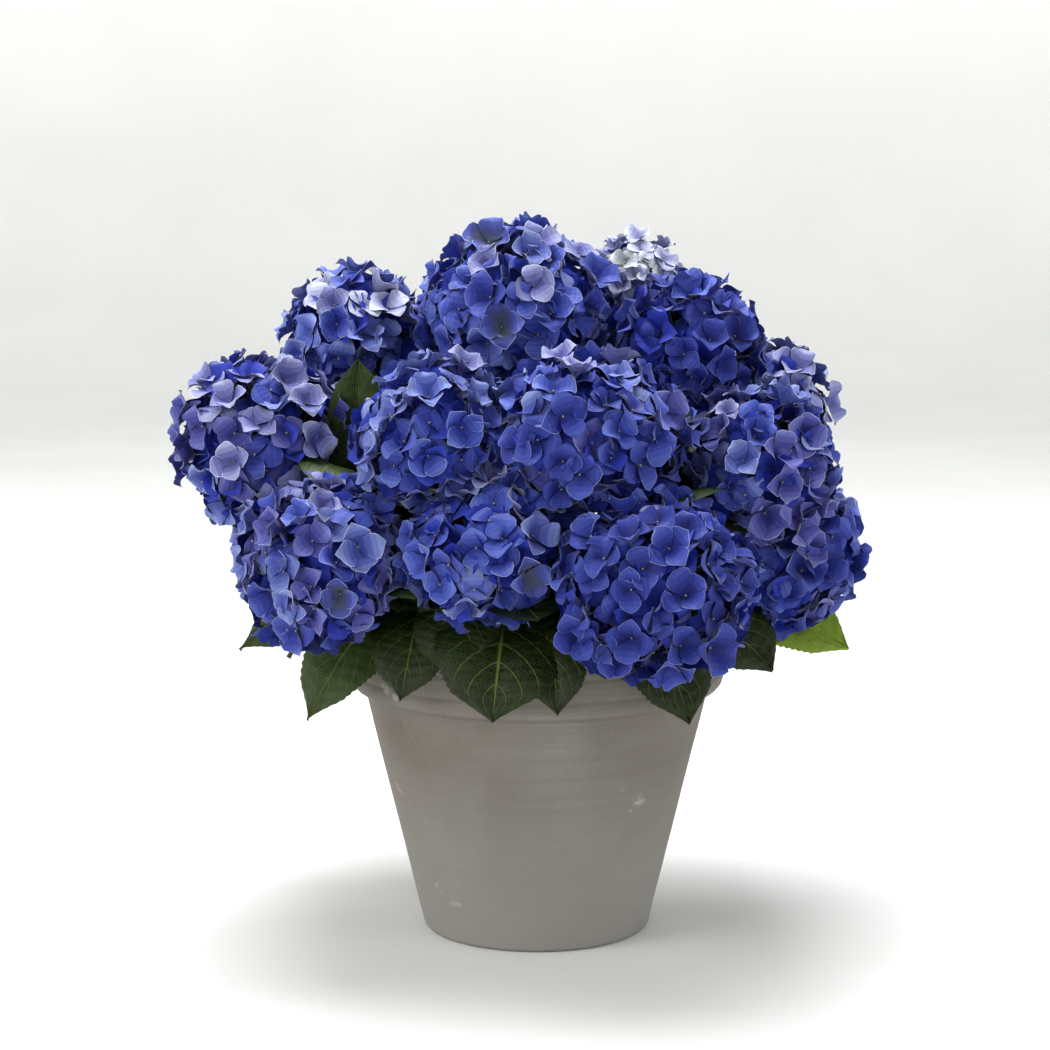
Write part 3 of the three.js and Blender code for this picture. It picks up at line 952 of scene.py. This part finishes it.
def addInnerLeaves(bm, layer, shoot):
    for share, spread in innerLeaf["rows"]:
        root = alongShoot(shoot, leafyShare(share))
        run = runOfShoot(shoot, leafyShare(share))
        heading = math.degrees(math.atan2(run.y, run.x))
        for hand in (-1, 1):
            length = between(*innerLeaf["length"])
            tip = root + around(heading + hand * spread, length, between(*innerLeaf["drop"]))
            arch = innerArch(root, tip)
            if arch:
                tint = random.choice(innerLeaf["tints"])
                look = up + Vector((between(-0.3, 0.3), between(-0.3, 0.3), 0))
                addBlade(bm, arch, innerLeaf["width"] * length, plainBlade, [tint, tint, stalkSlot], layer,
                         look=look, wave=innerLeaf["wave"])
                addLeafStalk(bm, arch, stalkSlot)


def makeLeaves():
    stemGreen = barkMaterial("greenStem", rgb(92, 116, 54), rgb(128, 146, 84), 60.0)
    stems, fine, plain = bmesh.new(), bmesh.new(), bmesh.new()
    fineLayer = fine.loops.layers.uv.new("leaf")
    plainLayer = plain.loops.layers.uv.new("leaf")
    shown = []             # arch, half width, tint, the way it looks
    for shoot in shoots:
        addStem(stems, shoot)
    for shoot in shoots:
        if "leafy" in shoot:
            for k, (*tip, half, turned, tint) in enumerate(shoot["leafy"]):
                share = leafyShare(rimLeaf["firstShare"] + rimLeaf["shareStep"] * k)
                arch = rimArch(alongShoot(shoot, share), *tip)
                shown.append((arch, half, tint, around(turned, 1, rimLeaf["tilt"])))
            addInnerLeaves(plain, plainLayer, shoot)
    for shoot, share, knee, tip, half, look in gapLeaves:
        arch = (alongShoot(shoots[shoot], share), Vector(knee), Vector(tip))
        shown.append((arch, half, 1, Vector(look)))
    for arch, half, tint, look in shown:
        addBlade(fine, arch, half, fineBlade, [tint], fineLayer, look=look, wave=rimLeaf["wave"])
        addLeafStalk(fine, arch, stalkSlot)

    finishPiece("green_stems", stems, [stemGreen], recalc=True)
    vein = rgb(118, 138, 62)
    nodes = ["leaves_%02d" % (i + 1) for i, shoot in enumerate(shoots) if "leafy" in shoot]
    finishPiece("rim_leaves", fine, [
        bladeMaterial("darkBlade", rgb(13, 24, 1), rgb(25, 38, 4), vein),
        bladeMaterial("midBlade", rgb(34, 50, 11), rgb(50, 68, 19), vein),
        bladeMaterial("lightBlade", rgb(98, 124, 24), rgb(124, 150, 38), rgb(182, 196, 100)),
        stemGreen])
    finishPiece("inner_leaves", plain, [
        plainGreen("shadeGreen", rgb(24, 37, 11), 0.45),
        plainGreen("midGreen", rgb(33, 49, 16), 0.42),
        plainGreen("youngGreen", rgb(48, 67, 24), 0.4),
        plainGreen("ribGreen", rgb(88, 108, 50), 0.5)], nodes)


makeLeaves()
print("leaves done")


# Flower heads

tints = {                  # throat, three zones of the blade, and the rim: darker towards the throat, partly the sepals' own colour and partly painted shade in the cup, and a rim of painted highlight
    # the inner florets that show in the gaps: painted light, a bright blue that stands in for light passing
    # through the sepals
    "shade": ((32, 45, 146), (35, 49, 152), (39, 54, 158), (44, 60, 164), (60, 76, 172)),
    "deep": ((24, 33, 106), (32, 42, 122), (41, 52, 134), (52, 64, 144), (100, 111, 173)),
    "royal": ((29, 39, 119), (40, 51, 135), (52, 64, 148), (66, 79, 159), (124, 135, 186)),
    "bright": ((37, 48, 134), (50, 64, 150), (65, 80, 164), (82, 97, 174), (144, 155, 198)),
    "violet": ((46, 47, 118), (59, 61, 134), (74, 76, 146), (91, 94, 157), (152, 156, 192)),
    "peri": ((60, 70, 146), (76, 88, 160), (94, 107, 171), (112, 125, 180), (172, 180, 206)),
    "azure": ((68, 82, 166), (86, 101, 182), (106, 120, 194), (126, 140, 203), (188, 196, 219)),
    "lavender": ((82, 84, 147), (101, 104, 161), (121, 125, 173), (141, 145, 184), (190, 194, 214)),
    "haze": ((126, 129, 172), (148, 152, 189), (168, 172, 203), (186, 190, 213), (216, 220, 229)),
    "cream": ((138, 146, 142), (158, 165, 168), (180, 184, 191), (198, 202, 208), (220, 222, 226)),
    "aged": ((72, 80, 98), (61, 68, 122), (60, 69, 143), (76, 88, 160), (144, 154, 196)),
}
zones = ("Throat", "Low", "Middle", "High", "RimHighlight")
tones = {                  # how often a head's florets take each tint
    "dark": {"deep": 7, "royal": 3},
    "deep": {"deep": 6, "royal": 3, "bright": 1},
    "royal": {"deep": 2, "royal": 5, "bright": 2, "violet": 1},
    "bright": {"bright": 6, "peri": 2, "royal": 2},
    "clear": {"peri": 2, "bright": 5, "royal": 2, "aged": 1},
    "fair": {"peri": 4, "azure": 6, "bright": 1},
    "violet": {"violet": 4, "royal": 3, "peri": 2, "aged": 1},
    "lavender": {"violet": 5, "lavender": 3, "royal": 2, "peri": 1, "aged": 1},
    "hazy": {"lavender": 6, "haze": 1, "peri": 3},
    "pale": {"haze": 6, "cream": 3, "lavender": 2},
}
# painted light: the next, paler tint that a floret takes where it faces up to the light
topLitTint = {"deep": "royal", "royal": "bright", "bright": "peri", "violet": "lavender", "peri": "lavender",
           "azure": "haze", "lavender": "lavender", "haze": "haze", "cream": "cream", "aged": "peri"}

sepal = {
    "seed": 1000,
    "length": 0.0182,
    "half": 0.0108,
    "fine": ((-1, -0.5, 0, 0.5, 1), (0, 0.2, 0.46, 0.7, 0.9, 1)),
    "plain": ((-1, 0, 1), (0, 0.4, 0.75, 1)),
    "waist": 0.26,
    "widest": 0.52,
    "fall": 2.0,
    "ends": (0.62, 0.42),  # width at the last row: round end, pointed end
    "arch": (0.105, 0.135),  # how far the last row's corners lie back, of the length
    "tip": 0.0013,         # the point that a tip is drawn out to
    "foot": 0.0010,
    "layer": 0.0010,       # the inner pair of sepals lies above the outer pair
    "rim": (0.00030, 0.00050),
    "rimFrom": 0.68,       # nearer the throat the rim keeps the blade's colour
    "highlitRims": 0.55,      # share of the sepals that have one, a painted highlight
    "spread": 0.10,        # radians that a sepal strays round the button
    "point": (0.05, 0.95),
    "pairCup": 0.08,       # the inner pair is cupped more, the outer less
    "bends": {"rise": 1.2, "droop": 2.4, "cup": 1.6},  # powers: how late each of them sets in
    "waves": 5.5,          # radians of its wave from foot to tip
}
sepalStray = {             # each sepal's own form, on top of its floret's habit
    "long": (0.88, 1.08), "broad": (0.9, 1.08), "rise": (-0.0018, 0.0018), "droop": (-0.002, 0.002),
    "cup": (-0.16, 0.16), "twist": (-0.26, 0.26), "wave": (0.0003, 0.0019), "phase": (0, math.tau),
    "hook": (-0.0014, 0.0014), "crease": (0, 0.0009),
}
habits = {                 # how a floret opens: rise and droop of its sepals, and their cupping
    "saucer": dict(rise=0.0085, droop=0.0040, cup=0.30),
    "bowl": dict(rise=0.0140, droop=0.0040, cup=0.46),
    "flat": dict(rise=0.0050, droop=0.0030, cup=0.12),
    "bent": dict(rise=0.0060, droop=0.0120, cup=-0.24),
}
habitOrder = ("saucer", "bowl", "flat", "saucer", "bent", "bowl")
kinds = {"fine": 18, "plain": 6}
button = {
    "radius": 0.0015,
    "rise": 0.0009,
    "dotRadii": (0.0009, 0.0004),
    "dotHeight": 0.0008,
    "dotRise": 0.0022,
}
headRule = {
    "seed": 171,
    "spacing": 0.0262,
    "sink": 0.835,         # where the florets sit, of the head's reach
    "jitter": 0.055,
    "wander": 0.085,       # how far a floret strays sideways
    "lumps": 0.05,
    "tilt": 28,            # degrees
    "lift": 0.16,          # florets look up a little
    "scale": (0.76, 1.0),
    "closedBelow": -0.74,
    "deepest": 0.016,      # florets pressed in further than this are left off
    "missing": 0.03,
    "topLitFrom": (0.2, 0.5),  # painted light on the heads' tops: florets that look up more steeply than this are often a tint lighter
    "topLitOdds": 0.9,
    "youngWithin": 0.24,   # radians
    "bareWithin": 0.42,
    "youngSize": 0.64,
    "smallSize": 0.70,     # florets of the pale head
    "innerSpacing": 0.0265,
    "innerSink": 0.67,
    "softFrom": 0.6,
    "gap": 0.0003,
}
stalk = {
    "fork": 0.45,          # where a floret's stalk leaves its ray, from the hub
    "forkRise": 0.006,
    "radii": (0.0008, 0.0006),
    "sides": 3,
    "short": 0.0004,       # it ends just behind the floret
    "rays": 14,
    "raysFrom": -0.4,
    "rayReach": 0.5,
    "rayRise": 0.004,
    "rayRadii": (0.002, 0.0015, 0.001),
    "raySides": 5,
}


def sepalMaterial(name, colour):
    material, tree, shader = newMaterial(name)
    setPlain(shader, Base_Color=rgb(*colour), Specular_IOR_Level=0.2, Sheen_Weight=0.28,
             Sheen_Roughness=0.36, Sheen_Tint=rgb(224, 227, 244))
    lines = useGroup(tree, "sepalVeins", {"Map": node(tree, "UVMap", uv_map="sepal")[0]})[0]
    patch = mottle(tree, objectPlace(tree), 150.0)
    addRoughness(tree, shader, patch, 0.46, 0.64)
    addBump(tree, shader, math2(tree, "ADD", lines, patch), 0.0003, 0.45)
    return material


def buttonMaterial(name, colour):
    material, tree, shader = newMaterial(name)
    setPlain(shader, Base_Color=colour)
    patch = mottle(tree, objectPlace(tree), 500.0)
    addRoughness(tree, shader, patch, 0.45, 0.7)
    addBump(tree, shader, patch, 0.0003, 0.6)
    return material


def sepalWidth(share, point):
    # grows from the foot to the widest place, then draws in towards a round or a pointed end
    s = sepal
    if share < s["widest"]:
        return s["half"] * mix(s["waist"], 1, math.sin(math.pi / 2 * share / s["widest"]))
    fall = (share - s["widest"]) / (1 - s["widest"])
    return s["half"] * mix(1, mix(*s["ends"], point), fall ** s["fall"])


def addSepal(bm, grid, turn, lift, form, firstSlot, layer):
    columns, rows = grid
    keys, faces = mappedGrid(bm, columns, rows, layer)
    for face in faces:
        row = min(keys[vert][1] for vert in face.verts)
        # the outer pair, under the inner pair, takes one zone darker: painted shade
        face.material_index = firstSlot + max(0, min(row, 3) - form["under"])
    bearing = Matrix.Rotation(turn, 3, "Z")
    bends = sepal["bends"]
    for vert, (column, row) in keys.items():
        x, t = columns[column], rows[row]
        width = sepalWidth(t, form["point"]) * form["broad"]
        z = lift + form["rise"] * math.sin(t * math.pi / 2) ** bends["rise"]
        z -= form["droop"] * t ** bends["droop"]
        z += form["cup"] * width * abs(x) ** bends["cup"] + form["twist"] * width * x * t
        z += form["wave"] * math.sin(sepal["waves"] * t + form["phase"]) * x * abs(x)
        z -= form["crease"] * (1 - abs(x)) * t * (1 - t) * 4
        arch = mix(*sepal["arch"], form["point"]) * x * x * t
        reach = sepal["length"] * form["long"] * t * (1 - arch)
        reach += sepal["tip"] * form["point"] if t == 1 and x == 0 else 0
        vert.co = bearing @ Vector((width * x + form["hook"] * t * t, sepal["foot"] + reach, z))
    return faces


def addRim(bm, faces, firstSlot):
    # a thin rim, of the palest tint on many sepals, but only away from the throat: a painted highlight where
    # the edge catches light
    rim = bmesh.ops.inset_region(bm, faces=faces, thickness=between(*sepal["rim"]), use_boundary=True,
                                 use_even_offset=True)["faces"]
    pale = sepal["length"] * (sepal["rimFrom"] if random.random() < sepal["highlitRims"] else 2)
    for face in rim:
        middle = face.calc_center_median()
        far = middle.x ** 2 + middle.y ** 2
        zone = 4 if far > pale ** 2 else 3 if far > sepal["length"] ** 2 / 3 else 1
        smoothFaces([face], firstSlot + zone)


def addButton(bm, slots):
    ball = bmesh.ops.create_icosphere(bm, subdivisions=1, radius=button["radius"])
    low, high = button["dotRadii"]
    dot = bmesh.ops.create_cone(bm, segments=5, radius1=low, radius2=high, depth=button["dotHeight"],
                                cap_ends=True)
    for made, rise, slot in ((ball, button["rise"], "button"), (dot, button["dotRise"], "dot")):
        bmesh.ops.translate(bm, verts=made["verts"], vec=(0, 0, rise))
        smoothFaces(facesOf(made["verts"]), slots[slot])


def makeFloret(kind, tint, slots, grid):
    # four sepals in two crossed pairs round a small button
    random.seed(sepal["seed"] + kind)
    bm = bmesh.new()
    layer = bm.loops.layers.uv.new("sepal")
    habit = habits[habitOrder[kind % len(habitOrder)]]
    point = between(*sepal["point"])
    for k in range(4):
        inner = 1 if k % 2 else -1
        form = {part: between(*spread) for part, spread in sepalStray.items()}
        for part in habit:
            form[part] += habit[part]
        form["cup"] += sepal["pairCup"] * inner
        # the outer pair is painted a zone darker, as shade under the inner pair
        form.update(under=1 - k % 2, point=point)
        turn = math.pi / 2 * k + between(-sepal["spread"], sepal["spread"])
        faces = addSepal(bm, sepal[grid], turn, sepal["layer"] * inner, form, slots[tint], layer)
        if grid == "fine":
            addRim(bm, faces, slots[tint])
    if grid == "fine":
        addButton(bm, slots)
    mesh = bpy.data.meshes.new("floret_%s_%d_%s" % (tint, kind, grid))
    bm.to_mesh(mesh)
    bm.free()
    return mesh


def evenDirections(count):
    # directions spread evenly over a ball, pole first
    golden = math.pi * (3 - math.sqrt(5))
    for k in range(count):
        z = 1 - (2 * k + 1) / count
        ring = math.sqrt(1 - z * z)
        yield Vector((ring * math.cos(golden * k), ring * math.sin(golden * k), z))


def headReach(shoot, direction):
    return 1 / headSize(shoot, direction)


def roomOf(shoot):
    # where a head presses on its neighbours, each pair shares the room between their centres
    room = []
    for other in shoots:
        if other is shoot:
            continue
        toward = other["centre"] - shoot["centre"]
        distance = toward.length
        toward.normalize()
        own, theirs = headReach(shoot, toward), headReach(other, -toward)
        if own + theirs > distance - headRule["gap"]:
            room.append((toward, distance * own / (own + theirs) - headRule["gap"]))
    return room


def headPoint(shoot, direction, scale, room):
    # the point in a head, and how far its neighbours press it in
    wide, high = shoot["half"]
    point = shoot["centre"] + scale * (
        shoot["side"] * wide * direction.x + shoot["face"] * high * direction.y
        + shoot["axis"] * depthOf(shoot, direction.z) * direction.z)
    free = point.copy()
    for toward, limit in room:
        soft = headRule["softFrom"] * limit
        out = (point - shoot["centre"]).dot(toward)
        if out > soft:
            kept = limit - (limit - soft) * math.exp((soft - out) / (limit - soft))
            point += toward * (kept - out)
    return point, (point - free).length


def headNormal(shoot, direction):
    wide, high = shoot["half"]
    return (shoot["side"] * direction.x / wide + shoot["face"] * direction.y / high
            + shoot["axis"] * direction.z / depthOf(shoot, direction.z)).normalized()


def near(direction, spots, within):
    return any(direction.angle(Vector(spot)) < within for spot in spots)


def placeFlorets(shoot, room, spacing, sink):
    reach = (shoot["half"][0] + shoot["half"][1] + shoot["dome"]) / 3
    count = round(4 * math.pi * reach * reach / spacing ** 2)
    spin = Matrix.Rotation(between(0, math.tau), 3, "Z")
    for direction in evenDirections(count):
        direction = (spin @ direction + anyWay() * headRule["wander"]).normalized()
        lump = headRule["lumps"] * noise.noise(direction * 2 + shoot["centre"] * 50)
        depth = sink + lump + between(-1, 1) * headRule["jitter"]
        missing = random.random() < headRule["missing"]
        bare = near(direction, shoot.get("bare", ()), headRule["bareWithin"])
        if missing or bare or direction.z < headRule["closedBelow"]:
            continue
        point, pressed = headPoint(shoot, direction, depth, room)
        if pressed > headRule["deepest"]:
            continue
        fresh = near(direction, shoot.get("young", ()), headRule["youngWithin"])
        yield point, headNormal(shoot, direction), fresh


def chooseTint(shoot, grid, normal, fresh):
    tone = tones[shoot["tone"]]
    tint = random.choices(list(tone), tone.values())[0]
    if grid == "plain":
        # the inner layer takes painted light in the gaps: the bright blue, or haze in the pale head
        return "haze" if shoot["tone"] == "pale" else "shade"
    if fresh:
        return "lavender"
    # painted light: florets that face up are often a tint lighter
    for topLitFrom in headRule["topLitFrom"]:
        if random.random() < max(0, normal.z - topLitFrom) * headRule["topLitOdds"]:
            tint = topLitTint[tint]
    return tint


def fillHead(bm, stalks, shoot, florets, grid, spacing, sink):
    # puts one layer of florets on a head, each with its stalk
    room = roomOf(shoot)
    small = headRule["smallSize"] if shoot["tone"] == "pale" else 1
    for point, normal, fresh in placeFlorets(shoot, room, spacing * small, sink):
        tint = chooseTint(shoot, grid, normal, fresh)
        tilt = anyWay() * math.tan(math.radians(headRule["tilt"]))
        facing = (normal + tilt + up * headRule["lift"]).normalized()
        turn = facing.to_track_quat("Z", "Y").to_matrix().to_4x4()
        spin = Matrix.Rotation(between(0, math.tau), 4, "Z")
        size = between(*headRule["scale"]) * (headRule["youngSize"] if fresh else small)
        shape = florets[grid, random.randrange(kinds[grid]), tint].copy()
        shape.transform(Matrix.Translation(point) @ turn @ spin @ Matrix.Scale(size, 4))
        bm.from_mesh(shape)
        bpy.data.meshes.remove(shape)
        fork = shoot["hub"].lerp(point, stalk["fork"]) + shoot["axis"] * stalk["forkRise"]
        addTube(stalks, [fork, point - facing * stalk["short"]], stalk["radii"], stalk["sides"])


def addRays(stalks, shoot):
    # thicker stalks that fork out of the hub
    hub, room = shoot["hub"], roomOf(shoot)
    for direction in evenDirections(stalk["rays"]):
        if direction.z > stalk["raysFrom"]:
            out = headPoint(shoot, direction, stalk["rayReach"], room)[0]
            knee = hub.lerp(out, 0.5) + shoot["axis"] * stalk["rayRise"]
            addTube(stalks, [hub, knee, out], stalk["rayRadii"], stalk["raySides"])


def makeHeads():
    slots, materials = {}, []
    for tint, colours in tints.items():
        slots[tint] = len(materials)
        materials += [sepalMaterial(tint + part, colour) for part, colour in zip(zones, colours)]
    for name, colour in (("button", rgb(64, 70, 66)), ("dot", rgb(170, 176, 158))):
        slots[name] = len(materials)
        materials.append(buttonMaterial(name, colour))
    wanted = {"fine": [tint for tint in tints if tint != "shade"], "plain": ("shade", "haze")}
    florets = {(grid, kind, tint): makeFloret(kind, tint, slots, grid)
               for grid in kinds for kind in range(kinds[grid]) for tint in wanted[grid]}
    stalks = bmesh.new()
    for i, shoot in enumerate(shoots):
        random.seed(headRule["seed"] + i)
        bm = bmesh.new()
        bm.loops.layers.uv.new("sepal")
        fillHead(bm, stalks, shoot, florets, "fine", headRule["spacing"], headRule["sink"])
        fillHead(bm, stalks, shoot, florets, "plain", headRule["innerSpacing"], headRule["innerSink"])
        addRays(stalks, shoot)
        finishPiece("florets_%02d" % (i + 1), bm, materials, ["flower_head_%02d" % (i + 1)])
    stalkGreen = barkMaterial("stalkGreen", rgb(84, 92, 96), rgb(112, 120, 130), 80.0)
    finishPiece("flower_stalks", stalks, [stalkGreen], recalc=True)
    for mesh in florets.values():
        bpy.data.meshes.remove(mesh)


makeHeads()
print("flower heads done")


# Floor

def makeBowl():
    s = studio
    radius, bend = s["bowlRadius"], s["bowlBend"]
    outline = [(0, 0), (radius - bend, 0)]
    outline += quarter(radius - bend, bend, bend, -90, 0, s["bendSteps"])
    bm = turnedOutline(outline + [(radius, s["bowlHeight"])], s["bowlSteps"], 1e-5)
    material, tree, shader = newMaterial("paleFloor")
    place = objectPlace(tree)
    colour = blendColour(tree, mottle(tree, place, 3.0), rgb(226, 226, 223), rgb(230, 230, 227))
    tree.links.new(colour, shader.inputs["Base Color"])
    setPlain(shader, Roughness=0.9, Specular_IOR_Level=0.1, Emission_Strength=s["glow"])
    wall = ramp(tree, node(tree, "SeparateXYZ", {0: place})[2], 0.0, s["glowHeight"])
    glow = blendColour(tree, wall, (0, 0, 0, 1), (1, 1, 1, 1))
    tree.links.new(glow, shader.inputs["Emission Color"])
    floor = newPiece("floor", bm, [material])


makeBowl()
